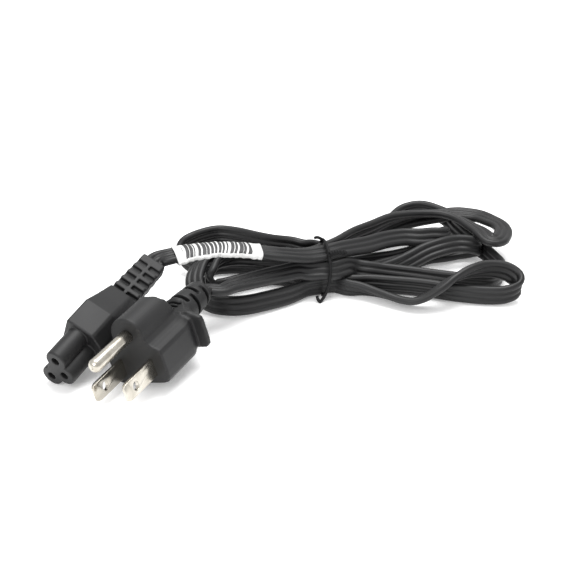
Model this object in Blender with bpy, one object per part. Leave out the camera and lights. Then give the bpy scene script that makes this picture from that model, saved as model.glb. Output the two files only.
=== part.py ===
"""Cloverleaf power cord: grounded three pin plug, cloverleaf connector and a tied hank of flat cord.

It lies unheld on a level floor at z = 0. Lengths are written in millimetres and scaled to metres.
"""
import math

import bmesh
import bpy
from mathutils import Matrix, Vector

MM = 0.001
GAP = 0.3

# Every place below is measured from a point on the floor under the hank, 14 mm to the left of the
# tie. The part's own origin lies under the middle of the plug and connector, given from that point.
ORIGIN = (-53.5, -61.25, 0.05)

# Flat three conductor cord
CORD_WIDTH = 7.6

# Plug, in its own frame: x across the blades, y out of the face, z up to the ground pin
PLUG_FACE = (-49.4, -77.6, 8.5)
PLUG_X = (-0.857, 0.441, -0.267)
PLUG_Y = (-0.440, -0.895, -0.066)
BLADE_PITCH = 12.7
BLADE_WIDTH = 6.35
BLADE_THICK = 1.5
BLADE_LENGTH = 17.5
BLADE_HOLE = 3.1
BLADE_HOLE_OUT = 11.7
GROUND_DIA = 4.75
GROUND_LENGTH = 20.8
GROUND_OFFSET = 11.9
PLUG_HALF_WIDTH = 11.5
NECK_HEIGHT = 4.5
NECK_END = -45.5

# Connector, in its own frame: x across line and neutral, y out of the nose, z to the earth lobe
CONNECTOR_FACE = (-77.9, -77.4, 7.7)
CONNECTOR_X = (0.267, -0.436, 0.859)
CONNECTOR_Y = (-0.483, -0.832, -0.273)
CONTACT_SPACING = 9.3
EARTH_OFFSET = 4.4
LOBE_RADIUS = 3.9
NOSE_LENGTH = 13.0
CONTACT_HOLE = 3.0
CONTACT_HOLE_DEPTH = 10.0
RELIEF_START = -38.0
RELIEF_END = -59.0
WINDOW_PITCH = 3.7

# Hank
HANK_LOW = 1.2
HANK_HIGH = 16.7
TIE_X = 14.0
TIE_Y = -2.9

# Route of the cord from the connector's strain relief to the hank, in millimetres
CONNECTOR_TAIL = [
    (-47.7, -28.1, 23.4),
    (-45.6, -24.8, 24.8),
    (-41.5, -22.8, 25.8),
    (-33.0, -20.5, 25.4),
    (-22.0, -19.0, 24.2),
    (-11.0, -17.0, 22.8),
    (-3.0, -13.0, 21.6),
    (4.0, -8.5, 21.2),
]
# Route of the cord from the plug's neck to the hank
PLUG_TAIL = [
    (-30.4, -36.2, 15.9),
    (-29.1, -33.6, 16.1),
    (-26.6, -31.2, 16.4),
    (-22.8, -29.3, 16.7),
]

HANK_OUTLINE = [
    (TIE_X, 5.9), (9.0, 6.6), (3.0, 10.0), (-4.0, 14.0), (-13.0, 18.2), (-24.0, 20.2), (-34.0, 18.2),
    (-41.0, 13.5), (-43.0, 9.0), (-40.5, 2.5), (-38.0, -8.0), (-36.5, -17.0), (-32.0, -23.0),
    (-21.5, -26.3), (-11.0, -25.0), (2.0, -17.0), (TIE_X, -11.7), (24.0, -11.9), (35.0, -13.0),
    (45.0, -19.5), (55.0, -28.0), (64.0, -27.5), (72.0, -21.5), (80.0, -19.4), (87.0, -19.6),
    (91.0, -15.5), (91.5, -6.0), (91.0, 10.0), (88.5, 28.0), (82.0, 37.0), (76.0, 45.0),
    (66.0, 52.0), (54.0, 52.0), (42.0, 45.0), (31.0, 33.0), (23.0, 17.5), (18.0, 8.0),
]


def clear_scene():
    for item in list(bpy.data.objects):
        bpy.data.objects.remove(item, do_unlink=True)


def material(name, colour, roughness, metallic):
    made = bpy.data.materials.new(name)
    made.use_nodes = True
    shader = made.node_tree.nodes["Principled BSDF"]
    shader.inputs["Base Color"].default_value = (*colour, 1.0)
    shader.inputs["Roughness"].default_value = roughness
    shader.inputs["Metallic"].default_value = metallic
    return made


def root_empty():
    empty = bpy.data.objects.new("cord_frame", None)
    bpy.context.collection.objects.link(empty)
    empty.location = Vector(ORIGIN) * -MM
    return empty


def frame_empty(name, origin, x_axis, y_axis, root):
    """An empty whose axes carry a piece's own frame into the world."""
    along_x = Vector(x_axis).normalized()
    along_y = Vector(y_axis)
    along_y = (along_y - along_x * along_y.dot(along_x)).normalized()
    along_z = along_x.cross(along_y)
    turn = Matrix((along_x, along_y, along_z)).transposed()
    empty = bpy.data.objects.new(name, None)
    bpy.context.collection.objects.link(empty)
    empty.rotation_mode = "QUATERNION"
    empty.rotation_quaternion = turn.to_quaternion()
    empty.location = Vector(origin) * MM
    empty.parent = root
    return empty


def finish_mesh(name, bm, look, parent, smooth=True):
    bmesh.ops.recalc_face_normals(bm, faces=bm.faces)
    mesh = bpy.data.meshes.new(name)
    bm.to_mesh(mesh)
    bm.free()
    item = bpy.data.objects.new(name, mesh)
    bpy.context.collection.objects.link(item)
    item.parent = parent
    if look:
        mesh.materials.append(look)
    if smooth:
        mesh.shade_smooth()
        mesh.set_sharp_from_angle(angle=math.radians(35))
    return item


def loft(name, rings, look, parent, smooth=True):
    """A closed solid through rings of equal point counts, capped at both ends."""
    bm = bmesh.new()
    made = [[bm.verts.new(Vector(point) * MM) for point in ring] for ring in rings]
    count = len(made[0])
    for near, far in zip(made, made[1:]):
        for step in range(count):
            after = (step + 1) % count
            bm.faces.new((near[step], near[after], far[after], far[step]))
    bm.faces.new(list(reversed(made[0])))
    bm.faces.new(made[-1])
    return finish_mesh(name, bm, look, parent, smooth)


def box(name, low, high, look, parent):
    corners = [(low[0], low[2]), (high[0], low[2]), (high[0], high[2]), (low[0], high[2])]
    rings = [[(x, y, z) for x, z in corners] for y in (low[1], high[1])]
    return loft(name, rings, look, parent, smooth=False)


def circle(centre_x, centre_z, radius, count=24):
    points = []
    for step in range(count):
        angle = math.tau * step / count
        points.append((centre_x + radius * math.cos(angle), centre_z + radius * math.sin(angle)))
    return points


def at_depth(outline, y):
    return [(x, y, z) for x, z in outline]


def scaled(outline, factor_x, factor_z, centre_z=0.0):
    return [(x * factor_x, centre_z + (z - centre_z) * factor_z) for x, z in outline]


def rounded_box_outline(half_x, half_z, radius, centre_z=0.0, corner_steps=4):
    points = []
    for quarter, (sign_x, sign_z) in enumerate(((1, 1), (-1, 1), (-1, -1), (1, -1))):
        for step in range(corner_steps + 1):
            angle = math.radians(90 * (quarter + step / corner_steps))
            x = sign_x * (half_x - radius) + radius * math.cos(angle)
            z = sign_z * (half_z - radius) + radius * math.sin(angle)
            points.append((x, centre_z + z))
    return points


def combine(target, tool, operation):
    """A Boolean whose second operand is kept as a hidden guide."""
    tool.hide_render = True
    tool.display_type = "WIRE"
    step = target.modifiers.new(operation.title() + " " + tool.name, "BOOLEAN")
    step.operation = operation
    step.solver = "EXACT"
    step.object = tool


def plug_outline():
    """The plug's face: a wide block with an arch over the ground pin."""
    arch = PLUG_HALF_WIDTH
    right = [(8.6, -6.4), (10.5, -5.9), (11.3, -4.6), (arch, -2.5), (arch, 4.6), (11.2, 6.0),
             (9.8, 7.1), (8.0, 7.9), (6.9, 9.0), (6.1, 10.8)]
    for degrees in (5, 20, 36, 53, 71):
        angle = math.radians(degrees)
        right.append((5.9 * math.cos(angle), GROUND_OFFSET + 5.9 * math.sin(angle)))
    top = [(0.0, GROUND_OFFSET + 5.9)]
    left = [(-x, z) for x, z in reversed(right)]
    return right + top + left + [(0.0, -6.4)]


def build_plug(parent, pvc):
    outline = plug_outline()
    rings = [
        at_depth(scaled(outline, 0.965, 0.965, 3.0), 0.0),
        at_depth(outline, -0.7),
        at_depth(outline, -12.0),
        at_depth([(x, min(z, 16.6)) for x, z in outline], -14.0),
        at_depth([(x, min(z, 13.6)) for x, z in outline], -16.5),
        at_depth([(x * 0.98, min(z, 11.6)) for x, z in outline], -19.0),
        at_depth([(x * 1.04, min(z, 10.8)) for x, z in outline], -21.5),
        at_depth([(x * 1.24, min(z, 10.4)) for x, z in outline], -23.8),
        at_depth([(x * 1.28, max(-5.6, min(z, 10.2))) for x, z in outline], -25.2),
        at_depth([(x * 1.12, max(-4.6, min(z, 10.0))) for x, z in outline], -26.6),
        at_depth([(x * 0.72, max(-2.6, min(z, 9.9))) for x, z in outline], -28.0),
    ]
    housing = loft("plug_housing", rings, pvc, parent)
    neck_rings = []
    for y, radius in ((-24.0, 5.9), (-31.0, 5.8), (-36.0, 5.6), (-41.0, 5.2), (-44.6, 4.8), (NECK_END, 4.3)):
        neck_rings.append(at_depth(circle(0.0, NECK_HEIGHT, radius), y))
    neck = loft("neck_guide", neck_rings, None, parent)
    combine(housing, neck, "UNION")
    # Staggered slots that let the neck bend
    for number, y in enumerate((-33.2, -36.0, -38.8, -41.6)):
        across = number % 2 == 0
        for side in (-1, 1):
            if across:
                low = (-4.6, y - 0.6, NECK_HEIGHT + side * 5.0 - 1.4)
                high = (4.6, y + 0.6, NECK_HEIGHT + side * 5.0 + 1.4)
            else:
                low = (side * 5.0 - 1.4, y - 0.6, NECK_HEIGHT - 4.6)
                high = (side * 5.0 + 1.4, y + 0.6, NECK_HEIGHT + 4.6)
            slot = box(f"neck_slot_{number}_{side}", low, high, None, parent)
            combine(housing, slot, "DIFFERENCE")
    return housing


def build_pins(parent, nickel, housing):
    """Two flat blades with a hole and the round ground pin, each in its own seat in the face."""
    root = -4.0
    for name, side in (("line_blade", -1), ("neutral_blade", 1)):
        x = side * BLADE_PITCH / 2
        half = BLADE_WIDTH / 2
        thick = BLADE_THICK / 2
        rings = []
        for y, inset_x, inset_z in ((root, 0.0, 0.0), (BLADE_LENGTH - 1.2, 0.0, 0.0),
                                    (BLADE_LENGTH, 0.35, 0.9)):
            rings.append([
                (x - thick + inset_x, y, -half + inset_z),
                (x + thick - inset_x, y, -half + inset_z),
                (x + thick - inset_x, y, half - inset_z),
                (x - thick + inset_x, y, half - inset_z),
            ])
        blade = loft(name, rings, nickel, parent, smooth=False)
        hole_rings = []
        for depth in (-2.0, 2.0):
            hole_rings.append([(x + depth, BLADE_HOLE_OUT + a, b)
                               for a, b in circle(0.0, 0.0, BLADE_HOLE / 2, 16)])
        hole = loft(name + "_hole", hole_rings, None, parent)
        combine(blade, hole, "DIFFERENCE")
        seat = box(name + "_seat", (x - thick - GAP, root - GAP, -half - GAP),
                   (x + thick + GAP, 2.0, half + GAP), None, parent)
        combine(housing, seat, "DIFFERENCE")
    rings = []
    radius = GROUND_DIA / 2
    for y, share in ((root, 1.0), (GROUND_LENGTH - radius, 1.0), (GROUND_LENGTH - 1.3, 0.87),
                     (GROUND_LENGTH - 0.4, 0.58), (GROUND_LENGTH, 0.25)):
        rings.append(at_depth(circle(0.0, GROUND_OFFSET, radius * share, 20), y))
    loft("ground_pin", rings, nickel, parent)
    seat = loft("ground_seat", [at_depth(circle(0.0, GROUND_OFFSET, radius + GAP, 20), y)
                                for y in (root - GAP, 2.0)], None, parent)
    combine(housing, seat, "DIFFERENCE")


def cloverleaf(radius, count=72):
    """Star shaped outline round the three lobes of the connector's nose."""
    lobes = ((-CONTACT_SPACING / 2, 0.0), (CONTACT_SPACING / 2, 0.0), (0.0, EARTH_OFFSET))
    centre_z = EARTH_OFFSET / 3
    points = []
    for step in range(count):
        angle = math.tau * step / count
        along = (math.cos(angle), math.sin(angle))
        reach = radius + 0.1
        for lobe_x, lobe_z in lobes:
            off_x, off_z = lobe_x, lobe_z - centre_z
            forward = off_x * along[0] + off_z * along[1]
            aside = off_x * along[1] - off_z * along[0]
            if abs(aside) < radius and forward > 0:
                reach = max(reach, forward + math.sqrt(radius ** 2 - aside ** 2))
        points.append((reach * along[0], centre_z + reach * along[1]))
    return points


def connector_body_outline():
    """Block behind the nose: straight on the line and neutral side, chamfered to the earth side."""
    half = [(9.0, -5.6), (9.6, -5.0), (9.6, 4.6), (9.2, 5.6), (6.4, 8.8), (5.4, 9.6), (4.0, 10.0)]
    return half + [(-x, z) for x, z in reversed(half)]


def build_connector(parent, pvc):
    nose = cloverleaf(LOBE_RADIUS)
    rings = [at_depth(scaled(nose, 0.94, 0.94, 1.5), 0.0), at_depth(nose, -0.5),
             at_depth(nose, -NOSE_LENGTH - 1.5)]
    housing = loft("connector_housing", rings, pvc, parent)
    body = connector_body_outline()
    body_rings = [
        at_depth(scaled(body, 0.95, 0.95, 2.0), -NOSE_LENGTH),
        at_depth(body, -NOSE_LENGTH - 0.6),
        at_depth(body, -NOSE_LENGTH - 11.5),
        at_depth(scaled(body, 0.74, 0.88, 1.8), -31.0),
        at_depth(scaled(body, 0.45, 0.76, 1.6), RELIEF_START - 1.0),
    ]
    combine(housing, loft("body_guide", body_rings, None, parent), "UNION")
    front = rounded_box_outline(3.6, 5.4, 0.8, 1.5)
    rear = rounded_box_outline(2.9, 4.7, 0.8, 1.5)
    relief = loft("relief_guide", [at_depth(front, RELIEF_START + 0.5), at_depth(rear, RELIEF_END)],
                  None, parent)
    combine(housing, relief, "UNION")
    # Windows between the ribs of the strain relief, on both wide faces
    for number in range(4):
        y = RELIEF_START - 4.6 - number * WINDOW_PITCH
        for face in (-1, 1):
            for side in (-1, 1):
                low = (min(face * 2.0, face * 4.5), y - 0.8, 1.5 + (0.8 if side > 0 else -3.9))
                high = (max(face * 2.0, face * 4.5), y + 0.8, 1.5 + (3.9 if side > 0 else -0.8))
                window = box(f"relief_window_{number}_{face}_{side}", low, high, None, parent)
                combine(housing, window, "DIFFERENCE")
    return housing


def build_contacts(parent, metal, housing):
    """Three sleeves, each set back in its hole in the nose."""
    places = (("line_contact", CONTACT_SPACING / 2, 0.0),
              ("neutral_contact", -CONTACT_SPACING / 2, 0.0),
              ("earth_contact", 0.0, EARTH_OFFSET))
    for name, x, z in places:
        radius = CONTACT_HOLE / 2
        bore = loft(name + "_bore", [at_depth(circle(x, z, radius, 20), y)
                                     for y in (1.0, -CONTACT_HOLE_DEPTH)], None, parent)
        combine(housing, bore, "DIFFERENCE")
        sleeve = loft(name, [at_depth(circle(x, z, radius - GAP, 20), y)
                             for y in (-1.5, -CONTACT_HOLE_DEPTH + GAP)], metal, parent)
        inner = loft(name + "_inner", [at_depth(circle(x, z, radius - GAP - 0.4, 20), y)
                                       for y in (0.0, -CONTACT_HOLE_DEPTH + 1.0)], None, parent)
        combine(sleeve, inner, "DIFFERENCE")


def closed_curve(points, steps):
    """Points along a smooth closed curve through the given ones."""
    made = []
    count = len(points)
    for index in range(count):
        before, here, after, beyond = (Vector(points[(index + k) % count]) for k in (-1, 0, 1, 2))
        for step in range(steps):
            made.append(between(before, here, after, beyond, step / steps))
    return made


def between(before, here, after, beyond, t):
    return 0.5 * (2 * here + (after - before) * t
                  + (2 * before - 5 * here + 4 * after - beyond) * t ** 2
                  + (3 * here - before - 3 * after + beyond) * t ** 3)


def open_curve(points, steps):
    """Points along a smooth open curve through the given ones."""
    given = [Vector(point) for point in points]
    padded = [2 * given[0] - given[1]] + given + [2 * given[-1] - given[-2]]
    made = []
    for index in range(len(given) - 1):
        for step in range(steps):
            made.append(between(*padded[index:index + 4], step / steps))
    made.append(given[-1])
    return made


def build_hank(cord_look, root):
    """Outer shape of the tied hank, drawn in at the tie and rounded at its edges."""
    outline = closed_curve([(x, y, 0.0) for x, y in HANK_OUTLINE], 2)
    middle = Vector((TIE_X, TIE_Y, 0.0))
    rings = []
    for height, inset in ((HANK_LOW, 1.6), (HANK_LOW + 1.8, 0.0), (HANK_HIGH - 1.8, 0.0), (HANK_HIGH, 1.6)):
        ring = []
        for point in outline:
            inward = middle - point
            inward.y *= 2.0
            moved = point + inward.normalized() * inset
            ring.append((moved.x, moved.y, height))
        rings.append(ring)
    return loft("cord_hank", rings, cord_look, root)


def build_tail(name, route, look, root):
    points = open_curve(route, 2)
    curve = bpy.data.curves.new(name, "CURVE")
    curve.dimensions = "3D"
    curve.bevel_depth = CORD_WIDTH / 2 * MM
    curve.bevel_resolution = 2
    curve.render_resolution_u = 0
    curve.use_fill_caps = True
    spline = curve.splines.new("POLY")
    spline.points.add(len(points) - 1)
    for spot, point in zip(spline.points, points):
        spot.co = (*(point * MM), 1.0)
    curve.materials.append(look)
    item = bpy.data.objects.new(name, curve)
    bpy.context.collection.objects.link(item)
    item.parent = root
    return item


def tube_rings(route, across, count=20):
    """Oval rings square to a route, across being half width and half height."""
    rings = []
    for index, point in enumerate(route):
        ahead = route[min(index + 1, len(route) - 1)]
        behind = route[max(index - 1, 0)]
        along = (ahead - behind).normalized()
        side = along.cross(Vector((0, 0, 1))).normalized()
        up = side.cross(along)
        ring = []
        for step in range(count):
            angle = math.tau * step / count
            ring.append(point + side * (across * math.cos(angle)) + up * (across * math.sin(angle)))
        rings.append(ring)
    return rings


def build_label(paper, root):
    """Paper label wrapped round the cord near the connector."""
    route = open_curve(CONNECTOR_TAIL, 2)[4:12]
    label = loft("cord_label", tube_rings(route, CORD_WIDTH / 2 + GAP + 0.7), paper, root)
    bore_route = [route[0] * 2 - route[1]] + route + [route[-1] * 2 - route[-2]]
    bore = loft("label_bore", tube_rings(bore_route, CORD_WIDTH / 2 + GAP), None, root)
    combine(label, bore, "DIFFERENCE")


def build_tie(look, root):
    """Wire tie round the hank's waist, with its twisted end."""
    height = (HANK_LOW + HANK_HIGH) / 2
    outer = rounded_box_outline(10.3, 8.85, 2.8, height)
    inner = rounded_box_outline(9.5, 8.1, 2.0, height)
    rings = [[(TIE_X + x, TIE_Y + y, z) for y, z in outer] for x in (-1.2, 1.2)]
    tie = loft("twist_tie", rings, look, root)
    bore = loft("tie_bore", [[(TIE_X + x, TIE_Y + y, z) for y, z in inner] for x in (-3.0, 3.0)],
                None, root)
    combine(tie, bore, "DIFFERENCE")
    return tie


def main():
    clear_scene()
    pvc = material("black_pvc", (0.016, 0.016, 0.017), 0.45, 0.0)
    cord_look = material("black_cord_pvc", (0.014, 0.014, 0.015), 0.42, 0.0)
    nickel = material("nickel_plate", (0.78, 0.75, 0.69), 0.28, 1.0)
    brass = material("contact_brass", (0.55, 0.42, 0.22), 0.4, 1.0)
    paper = material("label_paper", (0.86, 0.86, 0.85), 0.6, 0.0)
    tie_look = material("tie_plastic", (0.018, 0.018, 0.018), 0.5, 0.0)
    root = root_empty()
    plug = frame_empty("plug_frame", PLUG_FACE, PLUG_X, PLUG_Y, root)
    connector = frame_empty("connector_frame", CONNECTOR_FACE, CONNECTOR_X, CONNECTOR_Y, root)
    plug_housing = build_plug(plug, pvc)
    build_pins(plug, nickel, plug_housing)
    connector_housing = build_connector(connector, pvc)
    build_contacts(connector, brass, connector_housing)
    build_hank(cord_look, root)
    build_tail("connector_tail", CONNECTOR_TAIL, cord_look, root)
    build_tail("plug_tail", PLUG_TAIL, cord_look, root)
    build_label(paper, root)
    build_tie(tie_look, root)


main()
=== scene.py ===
"""Looks of the cloverleaf power cord: plug, connector, flat cord in a tied hank, label and twist tie.

Places and sizes are in millimetres, as in the part's source, and become metres where a mesh is made.
The floor and the lights have their sizes in metres.
"""
import math

import bmesh
import bpy
import numpy as np
from mathutils import Matrix, Vector


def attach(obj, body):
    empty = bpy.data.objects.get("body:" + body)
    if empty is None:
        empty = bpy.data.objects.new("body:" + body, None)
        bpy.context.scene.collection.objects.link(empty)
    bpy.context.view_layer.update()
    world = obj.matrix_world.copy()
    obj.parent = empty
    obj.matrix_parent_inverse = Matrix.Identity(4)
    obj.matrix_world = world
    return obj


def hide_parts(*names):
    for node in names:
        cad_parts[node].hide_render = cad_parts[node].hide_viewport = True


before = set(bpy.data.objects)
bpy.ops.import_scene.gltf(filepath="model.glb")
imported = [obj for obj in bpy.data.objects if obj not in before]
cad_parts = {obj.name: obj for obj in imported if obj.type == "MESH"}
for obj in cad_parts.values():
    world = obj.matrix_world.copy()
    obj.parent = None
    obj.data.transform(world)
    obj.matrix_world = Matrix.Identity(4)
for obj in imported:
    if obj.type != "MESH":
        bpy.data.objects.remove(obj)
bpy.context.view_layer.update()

MM = 0.001

# The part's origin, given from a point on the floor under the hank 14 mm to the left of the tie.
# All places below are measured from that point.
ORIGIN = (-53.5, -61.25, 0.05)

# Camera: in front of that point and above it, looking down on it by CAMERA_DOWN degrees
CAMERA_PLACE = (0.0, -439.3, 223.8)
CAMERA_DOWN = 27.0
CAMERA_LENS = 78.95
SENSOR = 36.0

# Studio floor, in metres, in the part's own frame
FLOOR_HALF = 3.0
FLOOR_MIDDLE = (0.05, 0.8, 0.0)

# Flat cord of three insulated conductors side by side
CORD_WIDTH = 7.6
RIDGE_RADIUS = 1.45
RIDGE_PITCH = 2.35
CORD_STEP = 1.0
FLOOR_GAP = 0.15

# Paper label: where it starts and ends along the cord, and its half sizes round it
LABEL_START = 9.5
LABEL_END = 42.5
LABEL_STEP = 0.5
LABEL_AROUND = 56
LABEL_HALF_WIDTH = 4.2
LABEL_HALF_THICK = 1.95
PAPER_THICK = 0.15

# The label's bars: how many places there are, how much of its place a bar fills and how far it bows,
# where the bars start and end along the label, and the share round it that the flap keeps clear
BAR_PLACES = 21.0
BAR_NARROW = 0.3
BAR_WIDE = 0.95
BAR_BOW = 0.03
PANEL_START = 0.09
PANEL_END = 0.87
FLAP_SHARE = 0.055

# Plug, in its own frame: x across the blades, y out of the face, z up to the ground pin
PLUG_FACE = (-49.4, -77.6, 8.5)
PLUG_X = (-0.857, 0.441, -0.267)
PLUG_Y = (-0.440, -0.895, -0.066)
BLADE_PITCH = 12.7
BLADE_WIDTH = 6.35
BLADE_THICK = 1.5
BLADE_LENGTH = 17.5
BLADE_HOLE = 3.1
BLADE_HOLE_OUT = 11.7
BLADE_EDGE = 0.16
PIN_ROOT = -4.0
GROUND_DIA = 4.75
GROUND_LENGTH = 20.8
GROUND_OFFSET = 11.9
PLUG_HALF_WIDTH = 11.5
PLUG_BOTTOM = -6.4
ARCH_RADIUS = 6.5
NECK_HEIGHT = 4.5
NECK_END = -45.5
GRIP_START = -25.8
GRIP_PITCH = 1.3
GRIP_GROOVE = 0.6
GRIP_FLOOR = 6.8
NECK_SLOT = 1.7
NECK_SLOTS = 4
NECK_SLOT_START = -31.6
NECK_SLOT_PITCH = 3.55
NECK_SLOT_FLOOR = 2.8
NECK_SLOT_HALF_WIDE = 4.6
NECK_SLOT_HALF_HIGH = 4.4

# Connector, in its own frame: x across line and neutral, y out of the nose, z to the earth lobe
CONNECTOR_FACE = (-77.9, -77.4, 7.7)
CONNECTOR_X = (0.267, -0.436, 0.859)
CONNECTOR_Y = (-0.483, -0.832, -0.273)
CONTACT_SPACING = 9.3
EARTH_OFFSET = 4.4
CONTACT_PLACES = ((-CONTACT_SPACING / 2, 0.0), (CONTACT_SPACING / 2, 0.0), (0.0, EARTH_OFFSET))
LOBE_RADIUS = 3.9
NOSE_LENGTH = 13.0
CONTACT_HOLE = 3.0
CONTACT_HOLE_DEPTH = 10.0
RELIEF_START = -38.0
RELIEF_END = -59.0
RELIEF_MIDDLE = 1.5
WINDOWS = 5
WINDOW = 2.0
WINDOW_PITCH = 3.75
WINDOW_SPINE = 1.3
WINDOW_FLOOR = 1.9

# Moulded pieces are rebuilt in cells of this size, which rounds their edges
MOULD_CELL = 0.24

# Hank: where the tie holds them, at TIE_X, the lower strands stand on edge in five columns. They
# slant to the back by TIE_SLANT for each millimetre to the right.
TIE_X = 14.0
TIE_SLANT = 0.4
COLUMN_Y = {1: -8.6, 2: -5.3, 3: -2.0, 4: 1.3, 5: 4.6}
COLUMN_HEIGHT = 4.7

# Strands are pressed apart where they meet, unless they are this near to each other along the cord
NEAR_ALONG = 11.0
STRAND_CLEAR = 3.05

# Each point of the cord's route is x, y, z and the lean of its upper edge to the left of its run,
# in degrees
TIE_CROSSING = [
    (19.0, 10.0, 12.6, -3), (14.0, 4.5, 12.6, -3), (9.0, 0.5, 12.6, 0),
]
BACK_CROSSING = [
    (9.0, 7.0, 11.2, 0), (14.0, 8.5, 10.2, 0), (19.0, 12.5, 9.4, 3),
]
UNDER_CROSSING = [
    (9.0, 8.0, 6.6, 0), (14.0, 8.5, 4.8, 0), (19.0, 12.5, 4.3, 0),
]
CONNECTOR_RUN = [
    (-48.0, -28.5, 23.2, 60), (-46.5, -26.0, 23.6, 63), (-43.5, -25.5, 24.4, 70),
    (-38.0, -23.5, 24.8, 78), (-31.5, -21.5, 25.0, 84), (-25.0, -19.5, 24.7, 86),
    (-15.0, -18.0, 23.6, 84), (-10.0, -16.5, 22.2, 82), (-2.0, -14.5, 20.0, 78),
    (5.5, -10.5, 17.0, 74), (10.5, -8.0, 15.4, 70), (15.5, -5.5, 14.6, 67), (20.5, -2.5, 14.4, 63),
]
RIGHT_MIDDLE = [
    (26.0, 2.5, 14.0, 60), (33.0, 8.5, 13.2, 58), (41.0, 15.0, 12.6, 55), (48.5, 18.5, 12.0, 50),
    (54.5, 19.0, 11.4, 42), (60.0, 20.5, 10.9, 38), (64.5, 21.5, 10.0, 32), (67.0, 24.5, 8.8, 24),
    (65.5, 28.0, 7.4, 16), (62.0, 28.0, 6.0, 8), (58.5, 25.0, 4.9, 3), (55.5, 20.5, 4.3, 0),
    (51.5, 16.5, 4.2, 0), (46.5, 14.5, 4.2, 0), (35.0, 12.0, 4.2, 0), (25.5, 10.0, 4.2, 0),
]
LEFT_SHORT = [
    (2.5, 16.0, 4.2, 0), (-5.5, 20.0, 4.2, 0), (-13.5, 22.5, 4.2, 0), (-19.0, 22.5, 4.2, 0),
    (-21.0, 19.0, 4.2, 0), (-18.5, 16.0, 4.2, 0), (-13.5, 14.0, 4.2, 0), (-6.5, 11.5, 4.2, 0),
    (2.5, 6.5, 4.2, 0),
]
RIGHT_LOW = [
    (25.0, 5.0, 4.2, 0), (33.0, 4.0, 4.2, 5), (42.0, 9.0, 4.2, 15), (56.0, 19.5, 4.6, 28),
    (63.5, 21.5, 5.0, 36), (70.0, 24.0, 5.2, 40), (74.5, 24.5, 5.2, 40), (79.0, 23.5, 6.6, 18),
    (80.0, 21.5, 8.0, 0), (78.5, 19.5, 9.4, -20), (74.5, 18.5, 10.2, -38), (70.0, 18.0, 10.2, -40),
    (63.5, 15.0, 10.0, -40), (57.0, 12.5, 8.8, -38), (50.0, 9.5, 6.4, -30), (43.5, 6.5, 4.9, -18),
    (33.0, 2.0, 4.2, -6), (25.0, 1.5, 4.2, 0),
]
LEFT_BACK = [
    (1.5, 3.5, 4.2, 0), (-9.5, 8.0, 4.2, 0), (-17.5, 9.5, 4.2, 0), (-25.5, 9.0, 4.2, 0),
    (-31.5, 7.5, 4.2, 0), (-36.5, 8.0, 4.8, 8), (-40.0, 9.5, 6.6, 15), (-41.0, 11.0, 8.8, 18),
    (-40.0, 13.0, 10.8, 12), (-38.5, 14.0, 11.8, 5), (-33.0, 18.5, 12.2, 5), (-27.0, 21.0, 12.3, 5),
    (-19.5, 19.0, 12.3, 5), (-11.5, 14.0, 12.3, 5), (-3.5, 8.5, 12.2, 5), (1.0, 6.0, 12.0, 3),
    (6.5, 5.0, 11.6, 0),
]
RIGHT_BACK = [
    (26.0, 20.0, 9.0, 8), (35.0, 29.0, 9.4, 20), (43.0, 35.0, 10.0, 36), (50.5, 39.5, 10.6, 50),
    (56.5, 41.5, 10.8, 62), (64.0, 43.5, 10.8, 72), (70.5, 43.5, 11.0, 76), (76.0, 42.5, 11.2, 78),
    (81.0, 40.0, 11.6, 80), (84.5, 35.5, 12.0, 86), (88.0, 30.5, 12.0, 92), (89.0, 25.5, 11.8, 97),
    (87.5, 19.5, 11.6, 99), (85.5, 16.0, 11.6, 99), (82.5, 15.5, 11.6, 97), (80.5, 18.5, 11.8, 90),
    (78.5, 23.0, 12.0, 82), (76.0, 27.5, 12.2, 72), (73.0, 32.5, 12.4, 66), (68.5, 37.0, 12.4, 62),
    (63.5, 39.0, 12.4, 60), (56.5, 39.0, 12.4, 56), (50.0, 37.5, 12.4, 48), (42.0, 33.5, 12.4, 28),
    (34.5, 26.0, 12.5, 10), (26.5, 19.0, 12.6, 0),
]
LEFT_INNER = [
    (-2.5, -0.5, 12.5, 0), (-13.0, 0.5, 12.4, 0), (-19.5, 1.5, 12.3, 0), (-24.5, -1.0, 12.2, 18),
    (-27.5, -4.5, 11.3, 32), (-29.0, -9.0, 9.5, 36), (-29.5, -10.0, 7.5, 30),
    (-29.0, -11.5, 5.7, 20), (-27.0, -12.0, 4.7, 8), (-24.5, -10.0, 4.3, -5),
    (-20.5, -7.5, 4.2, -12), (-15.5, -4.5, 4.2, -15), (-8.0, -1.0, 4.2, -10), (1.0, -1.5, 4.2, 0),
]
RIGHT_FRONT = [
    (24.5, -5.5, 4.2, 0), (32.5, -6.0, 4.2, 0), (42.0, -8.0, 4.2, 0), (49.5, -9.5, 4.2, 0),
    (56.5, -11.5, 4.2, 0), (63.5, -14.0, 4.2, 0), (71.0, -16.0, 4.2, 0), (78.5, -17.0, 4.2, 0),
    (84.5, -17.0, 4.7, -3), (88.5, -15.5, 6.2, -8), (89.0, -13.0, 8.4, -12),
    (86.5, -11.0, 10.4, -10), (82.5, -10.0, 11.6, -2), (76.0, -10.5, 12.2, 12),
    (69.0, -13.5, 12.2, 35), (63.0, -17.0, 10.8, 52), (58.5, -19.5, 8.4, 62),
    (53.5, -20.5, 5.4, 66), (49.0, -20.5, 3.6, 66), (44.5, -18.5, 3.1, 63), (39.5, -15.5, 3.4, 58),
    (34.0, -12.0, 3.7, 48), (29.5, -10.0, 4.0, 32), (24.5, -9.0, 4.2, 12),
]
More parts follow.
